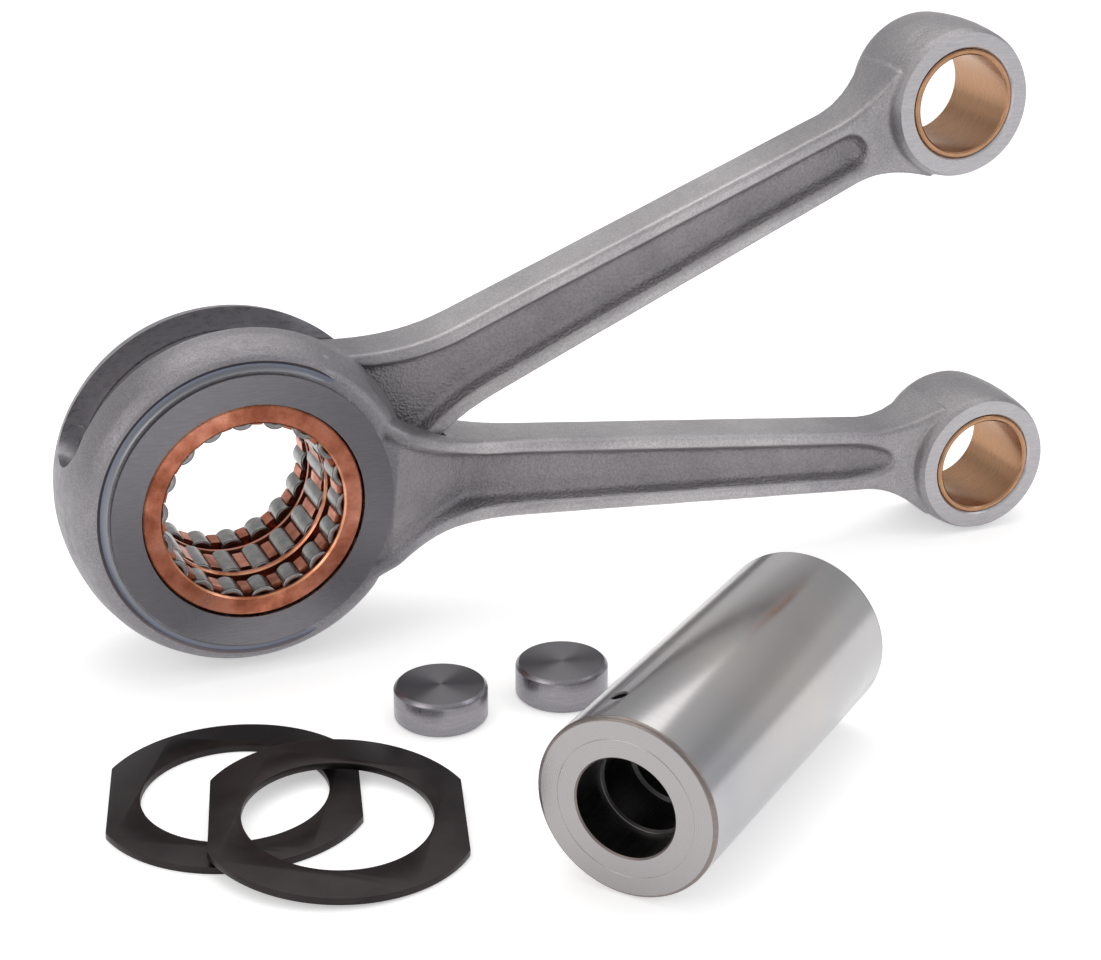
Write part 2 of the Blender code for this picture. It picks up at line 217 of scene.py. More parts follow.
def prism(outline, low_y, high_y, bm=None, matrix=None):
    """An outline of (x, z) points, extruded along Y."""
    bm = bm or bmesh.new()
    matrix = matrix or Matrix()
    front = [bm.verts.new(matrix @ Vector((x, low_y, z))) for x, z in outline]
    back = [bm.verts.new(matrix @ Vector((x, high_y, z))) for x, z in outline]
    bm.faces.new(front)
    bm.faces.new(reversed(back))
    for index in range(len(outline)):
        other = (index + 1) % len(outline)
        bm.faces.new((front[index], back[index], back[other], front[other]))
    return bm


def arc(radius, start, end, steps, centre=(0.0, 0.0)):
    points = []
    for step in range(steps + 1):
        angle = math.radians(start + (end - start) * step / steps)
        points.append((centre[0] + radius * math.cos(angle), centre[1] + radius * math.sin(angle)))
    return points


def clamped(share):
    return max(0.0, min(1.0, share))


def smooth_step(share):
    share = clamped(share)
    return share * share * (3.0 - 2.0 * share)


def mirrored(front_half):
    """A (radius, y) outline with its mirror image on the other side of y = 0."""
    return front_half + [(radius, -y) for radius, y in reversed(front_half)]


def turn_points(points, degrees):
    """Turns (x, z) points about the origin, from +X towards +Z."""
    cosine, sine = math.cos(math.radians(degrees)), math.sin(math.radians(degrees))
    return [(x * cosine - z * sine, x * sine + z * cosine) for x, z in points]


def apply_modifiers(obj):
    """Replaces the mesh by its evaluated copy and drops the modifiers."""
    bpy.context.view_layer.update()
    graph = bpy.context.evaluated_depsgraph_get()
    mesh = bpy.data.meshes.new_from_object(obj.evaluated_get(graph), depsgraph=graph)
    obj.modifiers.clear()
    obj.data = mesh
    return obj


def cut(obj, cutter, operation="DIFFERENCE", slot_index=0):
    """Applies a Boolean with a closed helper, whose faces take one material slot."""
    for material in obj.data.materials:
        cutter.data.materials.append(material)
    for polygon in cutter.data.polygons:
        polygon.material_index = slot_index
    modifier = obj.modifiers.new("cut", "BOOLEAN")
    modifier.object = cutter
    modifier.operation = operation
    modifier.solver = "MANIFOLD"
    apply_modifiers(obj)
    bpy.data.objects.remove(cutter)


def remesh_forging(obj, smoothing):
    """Melts overlapping shells into one skin with soft forged fillets."""
    remesh = obj.modifiers.new("skin", "REMESH")
    remesh.mode = "VOXEL"
    remesh.voxel_size = VOXEL * MM
    smooth = obj.modifiers.new("smooth", "SMOOTH")
    smooth.factor = 0.5
    smooth.iterations = smoothing
    apply_modifiers(obj)


def sharpen(obj, degrees):
    obj.data.shade_smooth()
    obj.data.set_sharp_from_angle(angle=math.radians(degrees))


def place_on(obj, matrix, body, *replaced):
    """Puts a piece in its place, on its body, in the stead of the CAD nodes it stands for."""
    obj.matrix_world = matrix
    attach(obj, body)
    if replaced:
        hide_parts(*replaced)
    return obj


def place_upright(obj, matrix, body, *replaced):
    """Like place_on, with the turn put into the mesh, so that the object's box stays tight."""
    obj.data.transform(matrix.to_3x3().to_4x4())
    return place_on(obj, Matrix.Translation(matrix.translation), body, *replaced)


# ---------------------------------------------------------------- materials


def set_stops(ramp, stops):
    """Gives a color ramp its (position, color) stops."""
    elements = ramp.color_ramp.elements
    while len(elements) < len(stops):
        elements.new(0.5)
    for element, (position, color) in zip(elements, stops):
        element.position = position
        element.color = (*color, 1.0)


class Nodes:
    """Short calls for building one node material."""

    def __init__(self, name, color, metallic, roughness):
        self.material = bpy.data.materials.new(name)
        self.material.use_nodes = True
        self.tree = self.material.node_tree
        self.shader = self.tree.nodes["Principled BSDF"]
        self.shader.inputs["Base Color"].default_value = (*color, 1.0)
        self.shader.inputs["Metallic"].default_value = metallic
        self.shader.inputs["Roughness"].default_value = roughness
        self.coordinates = self.tree.nodes.new("ShaderNodeTexCoord").outputs["Object"]

    def link(self, output, socket):
        self.tree.links.new(output, socket)

    def stretched(self, scale):
        mapping = self.tree.nodes.new("ShaderNodeMapping")
        mapping.inputs["Scale"].default_value = scale
        self.link(self.coordinates, mapping.inputs["Vector"])
        return mapping.outputs["Vector"]

    def noise(self, scale, detail=4.0, vector=None, roughness=0.55):
        noise = self.tree.nodes.new("ShaderNodeTexNoise")
        noise.inputs["Scale"].default_value = scale
        noise.inputs["Detail"].default_value = detail
        noise.inputs["Roughness"].default_value = roughness
        self.link(vector or self.coordinates, noise.inputs["Vector"])
        return noise.outputs["Fac"]

    def ramp(self, value, stops):
        ramp = self.tree.nodes.new("ShaderNodeValToRGB")
        set_stops(ramp, stops)
        self.link(value, ramp.inputs["Fac"])
        return ramp.outputs["Color"]

    def grey_ramp(self, value, start, low, end, high):
        return self.ramp(value, [(start, (low,) * 3), (end, (high,) * 3)])

    def mix(self, factor, first, second, blend="MIX"):
        mix = self.tree.nodes.new("ShaderNodeMix")
        mix.data_type = "RGBA"
        mix.blend_type = blend
        for socket, value in ((mix.inputs[0], factor), (mix.inputs[6], first), (mix.inputs[7], second)):
            if isinstance(value, (int, float)):
                socket.default_value = value
            elif isinstance(value, tuple):
                socket.default_value = (*value, 1.0)
            else:
                self.link(value, socket)
        return mix.outputs[2]

    def maths(self, operation, first, second):
        node = self.tree.nodes.new("ShaderNodeMath")
        node.operation = operation
        for socket, value in zip(node.inputs, (first, second)):
            if isinstance(value, (int, float)):
                socket.default_value = value
            else:
                self.link(value, socket)
        return node.outputs[0]

    def radius_about_y(self):
        """Distance from the object's own Y axis, in metres."""
        flat = self.stretched((1.0, 0.0, 1.0))
        length = self.tree.nodes.new("ShaderNodeVectorMath")
        length.operation = "LENGTH"
        self.link(flat, length.inputs[0])
        return length.outputs["Value"]

    def edges(self, start, end):
        """0 on flats, 1 on the convex edges of the mesh."""
        pointiness = self.tree.nodes.new("ShaderNodeNewGeometry").outputs["Pointiness"]
        return self.grey_ramp(pointiness, start, 0.0, end, 1.0)

    def bump(self, heights):
        """Chains (height, distance in millimetres, strength) bumps into the normal."""
        previous = None
        for height, distance, strength in heights:
            bump = self.tree.nodes.new("ShaderNodeBump")
            bump.inputs["Distance"].default_value = distance * MM
            bump.inputs["Strength"].default_value = strength
            self.link(height, bump.inputs["Height"])
            if previous:
                self.link(previous, bump.inputs["Normal"])
            previous = bump.outputs["Normal"]
        self.link(previous, self.shader.inputs["Normal"])

    def color(self, value):
        self.link(value, self.shader.inputs["Base Color"])

    def roughness(self, value):
        self.link(value, self.shader.inputs["Roughness"])


def forged_material():
    """Shot-blasted forging: fine grain, cloudy tone, painted highlights on the edges, darker ends."""
    nodes = Nodes("forged_steel", (0.36, 0.35, 0.37), 0.85, 0.46)
    clouds = nodes.noise(55.0, 3.0)
    tone = nodes.ramp(clouds, [(0.3, (0.39, 0.375, 0.39)), (0.72, (0.49, 0.472, 0.482))])
    grain = nodes.noise(2300.0, 4.0)
    speckled = nodes.mix(0.5, tone, nodes.grey_ramp(grain, 0.32, 0.3, 0.68, 0.66), "OVERLAY")
    # Painted highlight: the convex edges are mixed towards a light grey.
    edge_highlight = nodes.mix(nodes.edges(0.52, 0.61), speckled, (0.6, 0.585, 0.59))
    # Both ends are darker than the shank; 0.2 m from the big-end axis is 1 on the ramp.
    reach = nodes.maths("MULTIPLY", nodes.radius_about_y(), 5.0)
    plain = (1.0, 1.0, 1.0)
    end_darkening = [(0.2, (0.58, 0.58, 0.6)), (0.3, plain), (0.7, plain), (0.8, (0.72, 0.72, 0.73))]
    nodes.color(nodes.mix(1.0, edge_highlight, nodes.ramp(reach, end_darkening), "MULTIPLY"))
    nodes.roughness(nodes.grey_ramp(nodes.noise(400.0), 0.3, 0.38, 0.75, 0.54))
    nodes.bump([(nodes.noise(1000.0, 5.0), 0.25, 0.4), (grain, 0.12, 0.5)])
    return nodes.material


def pocket_material():
    """The shank pockets: darker, with a coarser orange-peel skin."""
    nodes = Nodes("forged_pocket", (0.27, 0.26, 0.275), 0.85, 0.5)
    peel = nodes.noise(1650.0, 1.5)
    tone = nodes.ramp(nodes.noise(70.0), [(0.3, (0.235, 0.224, 0.238)), (0.7, (0.3, 0.284, 0.298))])
    nodes.color(nodes.mix(0.4, tone, nodes.grey_ramp(peel, 0.36, 0.34, 0.64, 0.66), "OVERLAY"))
    nodes.roughness(nodes.grey_ramp(peel, 0.3, 0.42, 0.7, 0.58))
    nodes.bump([(peel, 0.5, 0.65), (nodes.noise(3000.0, 2.0), 0.05, 0.4)])
    return nodes.material


def machined_material(name, color, roughness):
    """Ground flat faces with fine crossing scratches and a few deep ones."""
    nodes = Nodes(name, color, 1.0, roughness)
    fine = nodes.noise(60.0, 8.0, nodes.stretched((4.0, 1.0, 90.0)), 0.8)
    cross = nodes.noise(45.0, 6.0, nodes.stretched((60.0, 1.0, 12.0)), 0.75)
    darker = tuple(channel * 0.82 for channel in color)
    lighter = tuple(min(1.0, channel * 1.22) for channel in color)
    tone = nodes.ramp(fine, [(0.32, darker), (0.68, lighter)])
    scratches = nodes.grey_ramp(cross, 0.67, 0.0, 0.72, 0.35)
    nodes.color(nodes.mix(scratches, tone, tuple(min(1.0, channel * 2.2) for channel in color)))
    nodes.roughness(nodes.grey_ramp(cross, 0.3, roughness * 0.75, 0.7, roughness * 1.25))
    nodes.bump([(fine, 0.02, 0.45), (cross, 0.015, 0.3)])
    return nodes.material


def tinted_material():
    """The turned band around the boss, coloured by heat: blue inside, straw outside."""
    nodes = Nodes("heat_tinted_band", (0.22, 0.23, 0.26), 1.0, 0.36)
    drift = nodes.maths("MULTIPLY", nodes.noise(35.0, 2.0), 0.0008)
    radius = nodes.maths("ADD", nodes.radius_about_y(), drift)
    start = BOSS_RADIUS * MM
    share = nodes.maths("DIVIDE", nodes.maths("SUBTRACT", radius, start), 0.0038)
    stops = [
        (0.0, (0.36, 0.37, 0.39)),
        (0.3, (0.22, 0.225, 0.24)),
        (0.6, (0.16, 0.175, 0.23)),
        (0.82, (0.24, 0.19, 0.18)),
        (1.0, (0.38, 0.32, 0.27)),
    ]
    nodes.color(nodes.ramp(share, stops))
    rings = nodes.noise(1.0, 3.0, nodes.stretched((250.0, 2500.0, 250.0)))
    nodes.bump([(rings, 0.02, 0.4)])
    return nodes.material


def slot_material():
    """Milled slot walls, with sweeping tool marks."""
    nodes = Nodes("milled_slot", (0.24, 0.235, 0.25), 1.0, 0.3)
    marks = nodes.noise(30.0, 6.0, nodes.stretched((14.0, 1.0, 30.0)), 0.75)
    nodes.color(nodes.ramp(marks, [(0.3, (0.42, 0.41, 0.43)), (0.7, (0.55, 0.54, 0.56))]))
    nodes.roughness(nodes.grey_ramp(marks, 0.3, 0.24, 0.7, 0.36))
    nodes.bump([(marks, 0.02, 0.4)])
    return nodes.material


def copper_material(name, patina_tones, roughness):
    """Copper-plated cage: brown patina, hairline scratches."""
    nodes = Nodes(name, patina_tones[1], 1.0, roughness)
    patina = nodes.noise(170.0, 6.0, roughness=0.62)
    wide = nodes.noise(60.0, 2.0)
    blend = nodes.maths("ADD", nodes.maths("MULTIPLY", patina, 0.6), nodes.maths("MULTIPLY", wide, 0.4))
    tone = nodes.ramp(blend, list(zip((0.40, 0.5, 0.60), patina_tones)))
    scratch = nodes.noise(40.0, 6.0, nodes.stretched((70.0, 4.0, 9.0)), 0.8)
    nodes.color(nodes.mix(nodes.grey_ramp(scratch, 0.64, 0.0, 0.70, 0.55), tone, (0.70, 0.34, 0.22)))
    nodes.roughness(nodes.grey_ramp(patina, 0.35, roughness * 1.35, 0.65, roughness * 0.8))
    nodes.bump([(scratch, 0.012, 0.3), (nodes.noise(900.0, 3.0), 0.02, 0.3)])
    return nodes.material


def bronze_material():
    """Honed bronze bushing, brushed around its bore."""
    nodes = Nodes("bronze", (0.40, 0.22, 0.125), 1.0, 0.26)
    brushed = nodes.noise(1.0, 6.0, nodes.stretched((260.0, 5200.0, 260.0)), 0.65)
    nodes.color(nodes.ramp(brushed, [(0.3, (0.34, 0.18, 0.10)), (0.7, (0.47, 0.27, 0.155))]))
    nodes.roughness(nodes.grey_ramp(brushed, 0.3, 0.22, 0.7, 0.32))
    nodes.bump([(brushed, 0.006, 0.35)])
    return nodes.material


def roller_material():
    """Ground bearing steel with a thin film of oil."""
    nodes = Nodes("bearing_steel", (0.42, 0.42, 0.41), 1.0, 0.2)
    film = nodes.noise(420.0, 3.0)
    stops = [(0.32, (0.22, 0.225, 0.235)), (0.5, (0.28, 0.278, 0.275)), (0.7, (0.34, 0.33, 0.31))]
    nodes.color(nodes.ramp(film, stops))
    streaks = nodes.noise(1.0, 4.0, nodes.stretched((300.0, 1500.0, 300.0)))
    nodes.roughness(nodes.grey_ramp(streaks, 0.3, 0.24, 0.7, 0.34))
    nodes.bump([(streaks, 0.004, 0.3)])
    return nodes.material


def ground_material():
    """Ground and lapped crankpin barrel."""
    nodes = Nodes("ground_steel", (0.42, 0.41, 0.405), 1.0, 0.12)
    lapping = nodes.noise(1.0, 5.0, nodes.stretched((35.0, 2200.0, 35.0)), 0.7)
    film = nodes.noise(22.0, 2.0)
    nodes.color(nodes.ramp(film, [(0.3, (0.38, 0.385, 0.41)), (0.7, (0.48, 0.455, 0.44))]))
    nodes.roughness(nodes.grey_ramp(lapping, 0.3, 0.15, 0.7, 0.23))
    nodes.bump([(lapping, 0.003, 0.3)])
    return nodes.material


def turned_face_material(name, axis, color, roughness, anisotropy):
    """Faced end with concentric tool marks, which spread the light into a cone."""
    nodes = Nodes(name, color, 1.0, roughness)
    scale = (1.0, 0.0, 1.0) if axis == "Y" else (1.0, 1.0, 0.0)
    wave = nodes.tree.nodes.new("ShaderNodeTexWave")
    wave.wave_type = "RINGS"
    wave.rings_direction = "SPHERICAL"
    wave.inputs["Scale"].default_value = 900.0
    wave.inputs["Distortion"].default_value = 0.6
    nodes.link(nodes.stretched(scale), wave.inputs["Vector"])
    tangent = nodes.tree.nodes.new("ShaderNodeTangent")
    tangent.direction_type = "RADIAL"
    tangent.axis = axis
    nodes.link(tangent.outputs["Tangent"], nodes.shader.inputs["Tangent"])
    nodes.shader.inputs["Anisotropic"].default_value = anisotropy
    nodes.shader.inputs["Anisotropic Rotation"].default_value = 0.25
    darker = tuple(channel * 0.88 for channel in color)
    nodes.color(nodes.ramp(wave.outputs["Fac"], [(0.2, darker), (0.8, color)]))
    nodes.bump([(wave.outputs["Fac"], 0.003, 0.3), (nodes.noise(700.0, 4.0), 0.01, 0.15)])
    return nodes.material


def oxide_material():
    """Black oxide steel with a brown cast."""
    nodes = Nodes("black_oxide", (0.045, 0.038, 0.039), 0.9, 0.36)
    clouds = nodes.noise(80.0, 5.0)
    nodes.color(nodes.ramp(clouds, [(0.3, (0.022, 0.018, 0.019)), (0.7, (0.045, 0.038, 0.039))]))
    nodes.roughness(nodes.grey_ramp(clouds, 0.3, 0.3, 0.7, 0.46))
    nodes.bump([(nodes.noise(1500.0, 3.0), 0.03, 0.3)])
    return nodes.material


COPPER_FACE = [(0.29, 0.09, 0.05), (0.48, 0.168, 0.1), (0.62, 0.255, 0.175)]
COPPER_EDGE = [(0.45, 0.16, 0.08), (0.66, 0.29, 0.16), (0.78, 0.38, 0.24)]
MATERIALS = {
    "forged": forged_material(),
    "pocket": pocket_material(),
    "boss": machined_material("machined_boss", (0.19, 0.185, 0.2), 0.36),
    "eye": machined_material("machined_eye", (0.38, 0.37, 0.385), 0.3),
    "tinted": tinted_material(),
    "slot": slot_material(),
    "copper": copper_material("copper", COPPER_FACE, 0.34),
    "copper_edge": copper_material("copper_edge", COPPER_EDGE, 0.24),
    "bronze": bronze_material(),
    "roller": roller_material(),
    "roller_end": machined_material("roller_end", (0.12, 0.12, 0.12), 0.35),
    "ground": ground_material(),
    "pin_face": turned_face_material("pin_face", "Y", (0.39, 0.37, 0.375), 0.26, 0.4),
    "pin_edge": machined_material("pin_edge", (0.22, 0.19, 0.18), 0.36),
    # Painted shade: the crankpin's bore and oil hole take this dark steel, so that they read dark inside.
    "bore": machined_material("pin_bore", (0.13, 0.125, 0.125), 0.32),
    "plug_face": turned_face_material("plug_face", "Z", (0.27, 0.265, 0.28), 0.3, 0.85),
    "plug_side": machined_material("plug_side", (0.26, 0.25, 0.27), 0.3),
    "oxide": oxide_material(),
}
ROD_SLOTS = ["forged", "pocket", "boss", "tinted", "slot", "eye"]
PIN_SLOTS = ["ground", "pin_face", "bore", "pin_edge"]


def give_slots(obj, names):
    obj.data.materials.clear()
    for name in names:
        obj.data.materials.append(MATERIALS[name])


# ---------------------------------------------------------------- rods


def half_height(distance):
    """Half the height of a shank at this distance from the big-end axis."""
    share = (distance - FLARE_START) / (SMALL_FLARE - FLARE_START)
    height = HALF_HEIGHT_BIG + (HALF_HEIGHT_SMALL - HALF_HEIGHT_BIG) * share
    big_flare = max(0.0, (FLARE_START - distance) / 26.0)
    small_flare = max(0.0, (distance - SMALL_FLARE) / SMALL_FLARE_RUN)
    return height + 6.2 * big_flare**2 + 4.5 * small_flare**2


def thickness_flares(distance):
    """How far a shank has thickened towards its big end and towards its small end."""
    big_flare = clamped((THICK_FLARE_START - distance) / THICK_FLARE_RUN)
    small_flare = max(0.0, (distance - SMALL_FLARE) / SMALL_FLARE_RUN)
    return big_flare, small_flare


def fork_half_thickness(distance):
    big_flare, small_flare = thickness_flares(distance)
    return HALF_THICKNESS + 11.0 * big_flare**2.2 + 2.0 * small_flare**2


def blade_half_thickness(distance):
    big_flare, small_flare = thickness_flares(distance)
    return HALF_THICKNESS + 0.7 * big_flare + 2.0 * small_flare**2


def fork_web(distance):
    """Half thickness of the web, which climbs to the boss as a flat ramp."""
    return WEB_HALF_THICKNESS + 12.8 * clamped((56.0 - distance) / 22.0)


def blade_web(distance):
    return WEB_HALF_THICKNESS


def shank_section(distance, thickness, web, pocket_share):
    """Closed I-section as (y, z) points, from the flange faces into the pockets."""
    height = half_height(distance)
    floor = thickness - max(0.0, thickness - web) * pocket_share
    wall = (height - FLANGE_HEIGHT) * max(0.3, pocket_share)
    slope = 1.1
    fuller = clamped((thickness - 7.7) / 2.0)
    round_off = 0.9 + 1.5 * clamped((70.0 - distance) / 25.0) * fuller
    quarter = [
        (floor, 0.0),
        (floor, max(0.2, wall - slope - 1.4)),
        (floor + (thickness - floor) * 0.12, max(0.4, wall - slope - 0.3)),
        (floor + (thickness - floor) * 0.55, max(0.6, wall - slope * 0.6)),
        (thickness, wall + round_off * 0.4),
        (thickness, height - round_off),
        (thickness - round_off * 0.3, height - round_off * 0.3),
        (thickness - round_off, height),
    ]
    upper = quarter + [(-y, z) for y, z in reversed(quarter)]
    lower = [(y, -z) for y, z in reversed(upper)]
    return upper + lower[1:-1]


def shank(bm, half_thickness, web, start, pocket_end, end_run):
    """Lofts the I-section along X, with a round end to the pockets."""
    last = CENTRE_DISTANCE - EYE_FROM_SHANK_END
    count = int((last - start) / STATION_STEP) + 1
    stations = [start + STATION_STEP * step for step in range(count)]
    rings = []
    for distance in stations:
        left = clamped((pocket_end - distance) / end_run)
        share = math.sqrt(1.0 - (1.0 - left) ** 2)
        section = shank_section(distance, half_thickness(distance), web(distance), share)
        rings.append([bm.verts.new((distance, y, z)) for y, z in section])
    for ring, following in zip(rings, rings[1:]):
        for index in range(len(ring)):
            other = (index + 1) % len(ring)
            bm.faces.new((ring[index], ring[other], following[other], following[index]))
    bm.faces.new(rings[0])
    bm.faces.new(reversed(rings[-1]))


def eye_blank(bm):
    profile = [
        (8.0, -EYE_HALF_WIDTH - 0.7),
        (EYE_FACE_RADIUS - 0.3, -EYE_HALF_WIDTH - 0.7),
        (EYE_FACE_RADIUS + 0.8, -EYE_HALF_WIDTH + 1.6),
        (EYE_RADIUS - 0.2, -7.0),
        (EYE_RADIUS + 0.1, -2.5),
    ]
    turned(mirrored(profile), 96, bm, Matrix.Translation((CENTRE_DISTANCE, 0, 0)))


def finish_eye(rod):
    """Faces the small end and bores it for its bushing."""
    eye = Matrix.Translation((CENTRE_DISTANCE, 0, 0))
    for side in (-1, 1):
        far, face = side * 20.0, side * EYE_HALF_WIDTH
        block = turned([(0.0, far), (24.0, far), (24.0, face), (0.0, face)], 48, matrix=eye)
        cut(rod, finish_bmesh("facing", block), slot_index=ROD_SLOTS.index("eye"))
    edge = 0.45
    half = EYE_HALF_WIDTH
    mouth = BUSH_SEAT_RADIUS + edge + 1
    profile = [(0.0, -half - 1), (mouth, -half - 1), (BUSH_SEAT_RADIUS, -half + edge)]
    seat = turned(mirrored(profile), 128, matrix=eye)
    cut(rod, finish_bmesh("seat", seat), slot_index=ROD_SLOTS.index("slot"))


def boss_solid():
    """The machined hub, which reaches through both ears."""
    bore = RACE_RADIUS - 3
    profile = [(bore, -BIG_HALF_WIDTH), (BOSS_RADIUS, -BIG_HALF_WIDTH), (BOSS_RADIUS, -9.0)]
    return finish_bmesh("boss", turned(mirrored(profile), 256))


def band_cutter(side):
    """Turns the cove between the boss and the forged crown, running out towards the shank."""
    inner = BOSS_RADIUS + 0.02
    cove = arc(COVE_RADIUS, 180.0, 90.0, 8, (inner + COVE_RADIUS, -BIG_HALF_WIDTH))
    profile = [(inner, -25.0)] + cove + [(36.4, -18.2), (36.4, -25.0)]
    bm = bmesh.new()
    rings = []
    for index in range(BAND_SEGMENTS):
        angle = 2 * math.pi * index / BAND_SEGMENTS
        from_shank = abs(math.remainder(angle, 2 * math.pi))
        full = smooth_step((math.degrees(from_shank) - COVE_RUN_OUT_ANGLE) / COVE_FULL_ANGLE)
        run_out = COVE_RUN_OUT * (1.0 - full)
        ring = []
        for radius, y in profile:
            depth = -side * (y - run_out)
            ring.append(bm.verts.new((radius * math.cos(angle), depth, radius * math.sin(angle))))
        rings.append(ring)
    join_rings(bm, rings)
    return finish_bmesh("band", bm)


def crown(bm, profile):
    """The forged ring around the boss, which sinks where the shank's web meets the boss."""
    rings = []
    for index in range(CROWN_SEGMENTS):
        angle = 2 * math.pi * index / CROWN_SEGMENTS
        from_shank = math.degrees(abs(math.remainder(angle, 2 * math.pi)))
        full = smooth_step((from_shank - CROWN_SINK_ANGLE) / CROWN_RISE_ANGLE)
        height = 1.0 - CROWN_SINK * (1.0 - full)
        ring = []
        for radius, y in profile:
            ring.append(bm.verts.new((radius * math.cos(angle), y * height, radius * math.sin(angle))))
        rings.append(ring)
    join_rings(bm, rings)


def race_cutter(half):
    outline = [(0.0, -half), (RACE_RADIUS, -half), (RACE_RADIUS, half), (0.0, half)]
    return finish_bmesh("race", turned(outline, BORE_SEGMENTS))


def hollow_cutter():
    """The round hollow between the ears, which takes the blade's ring."""
    outline = [(0.0, -SLOT_HALF_WIDTH), (SLOT_RADIUS, -SLOT_HALF_WIDTH)]
    return finish_bmesh("hollow", turned(mirrored(outline), BORE_SEGMENTS))


def make_fork_rod():
    bm = bmesh.new()
    profile = [
        (18.0, -17.8),
        (34.4, -17.7),
        (35.9, -16.9),
        (37.6, -14.6),
        (39.0, -10.8),
        (39.85, -5.8),
        (40.05, -1.0),
    ]
    crown(bm, mirrored(profile))
    shank(bm, fork_half_thickness, fork_web, 28.0, 172.0, 14.0)
    eye_blank(bm)
    rod = finish_bmesh("fork_rod_forging", bm)
    remesh_forging(rod, 6)
    give_slots(rod, ROD_SLOTS)
    cut(rod, boss_solid(), "UNION", ROD_SLOTS.index("boss"))
    for side in (-1, 1):
        cut(rod, band_cutter(side), slot_index=ROD_SLOTS.index("tinted"))
    openings = (race_cutter(25.0), hollow_cutter(), slot_opening(), slot_round_end())
    for opening in openings:
        cut(rod, opening, slot_index=ROD_SLOTS.index("slot"))
    finish_eye(rod)
    mark_pockets(rod, fork_half_thickness)
    sharpen(rod, 32.0)
    return place_upright(rod, FORK_PLACE, "fork", "fork_rod")


def slot_opening():
    """The opening that the blade swings in, up to where its round end starts."""
    distances = [27.0 + 3.0 * step for step in range(15)]
    lower_side = [(distance, -half_height(distance) - BLADE_CLEARANCE) for distance in distances]
    round_start = SLOT_END_ANGLE - math.degrees(SLOT_HALF_WIDTH / RIM_RADIUS)
    outline = turn_points(lower_side, BLADE_ANGLE)
    outline += arc(80.0, 22.0, round_start, 12)
    outline += arc(SLOT_RADIUS - 3.0, round_start, -10.0, 48)
    return finish_bmesh("slot", prism(outline, -SLOT_HALF_WIDTH, SLOT_HALF_WIDTH))


def slot_round_end():
    """A radial mill leaves the slot's far end round."""
    angle = SLOT_END_ANGLE - math.degrees(SLOT_HALF_WIDTH / RIM_RADIUS)
    turn = Matrix.Rotation(-math.radians(angle), 4, "Y") @ Matrix.Rotation(math.radians(-90), 4, "Z")
    radius = SLOT_HALF_WIDTH - 0.02
    mill = turned([(0.0, 30.0), (radius, 30.0), (radius, 50.0), (0.0, 50.0)], 64, matrix=turn)
    return finish_bmesh("slot_end", mill)


def make_blade_rod():
    bm = bmesh.new()
    half = BLADE_HALF_WIDTH
    profile = [
        (20.0, -half - 0.5),
        (BLADE_RING_RADIUS - 0.8, -half - 0.5),
        (BLADE_RING_RADIUS, -half + 0.6),
    ]
    turned(mirrored(profile), 160, bm)
    shank(bm, blade_half_thickness, blade_web, 28.0, 170.5, 5.0)
    eye_blank(bm)
    rod = finish_bmesh("blade_rod_forging", bm)
    remesh_forging(rod, 5)
    give_slots(rod, ROD_SLOTS)
    for side in (-1, 1):
        far, face = side * 12.0, side * half
        facing = turned([(0.0, far), (44.0, far), (44.0, face), (0.0, face)], 96)
        cut(rod, finish_bmesh("facing", facing), slot_index=ROD_SLOTS.index("slot"))
    cut(rod, race_cutter(12.0), slot_index=ROD_SLOTS.index("slot"))
    finish_eye(rod)
    mark_pockets(rod, blade_half_thickness)
    sharpen(rod, 32.0)
    return place_upright(rod, BLADE_PLACE, "blade", "blade_rod")


def mark_pockets(rod, half_thickness):
    """Gives the pocket material to the forged faces that lie below the flanges."""
    forged = ROD_SLOTS.index("forged")
    for polygon in rod.data.polygons:
        x, y, z = polygon.center / MM
        if polygon.material_index != forged or not 34.0 < x < 172.0:
            continue
        if abs(z) < half_height(x) - 2.6 and abs(y) < half_thickness(x) - 0.9:
            polygon.material_index = ROD_SLOTS.index("pocket")


def make_bushing(name, place, body, node):
    half = EYE_HALF_WIDTH - 0.05
    edge = 0.35
    outer = BUSH_SEAT_RADIUS - 0.12
    profile = [
        (BUSH_BORE_RADIUS, -half + edge),
        (BUSH_BORE_RADIUS + edge, -half),
        (outer - edge, -half),
        (outer, -half + edge),
    ]
    bushing = finish_bmesh(name, turned(mirrored(profile), 128), 25.0)
    give_slots(bushing, ["bronze"])
    place_on(bushing, place, body, node)


# ---------------------------------------------------------------- roller rows


def roller_mesh(name, length):
    """A roller along Y with rounded ends, a ground rim and a dished centre."""
    half = length / 2
    edge = arc(ROLLER_EDGE, -90.0, 0.0, 5, (ROLLER_RADIUS - ROLLER_EDGE, -half + ROLLER_EDGE))
    front = [(0.0, -half + 0.35), (1.5, -half + 0.35), (ROLLER_DISH_RADIUS, -half + 0.02)] + edge
    roller = finish_bmesh(name, turned(mirrored(front), 56), 40.0)
    give_slots(roller, ["roller", "roller_end"])
    for polygon in roller.data.polygons:
        if math.hypot(polygon.center.x, polygon.center.z) < (ROLLER_DISH_RADIUS + 0.05) * MM:
            polygon.material_index = 1
    return roller


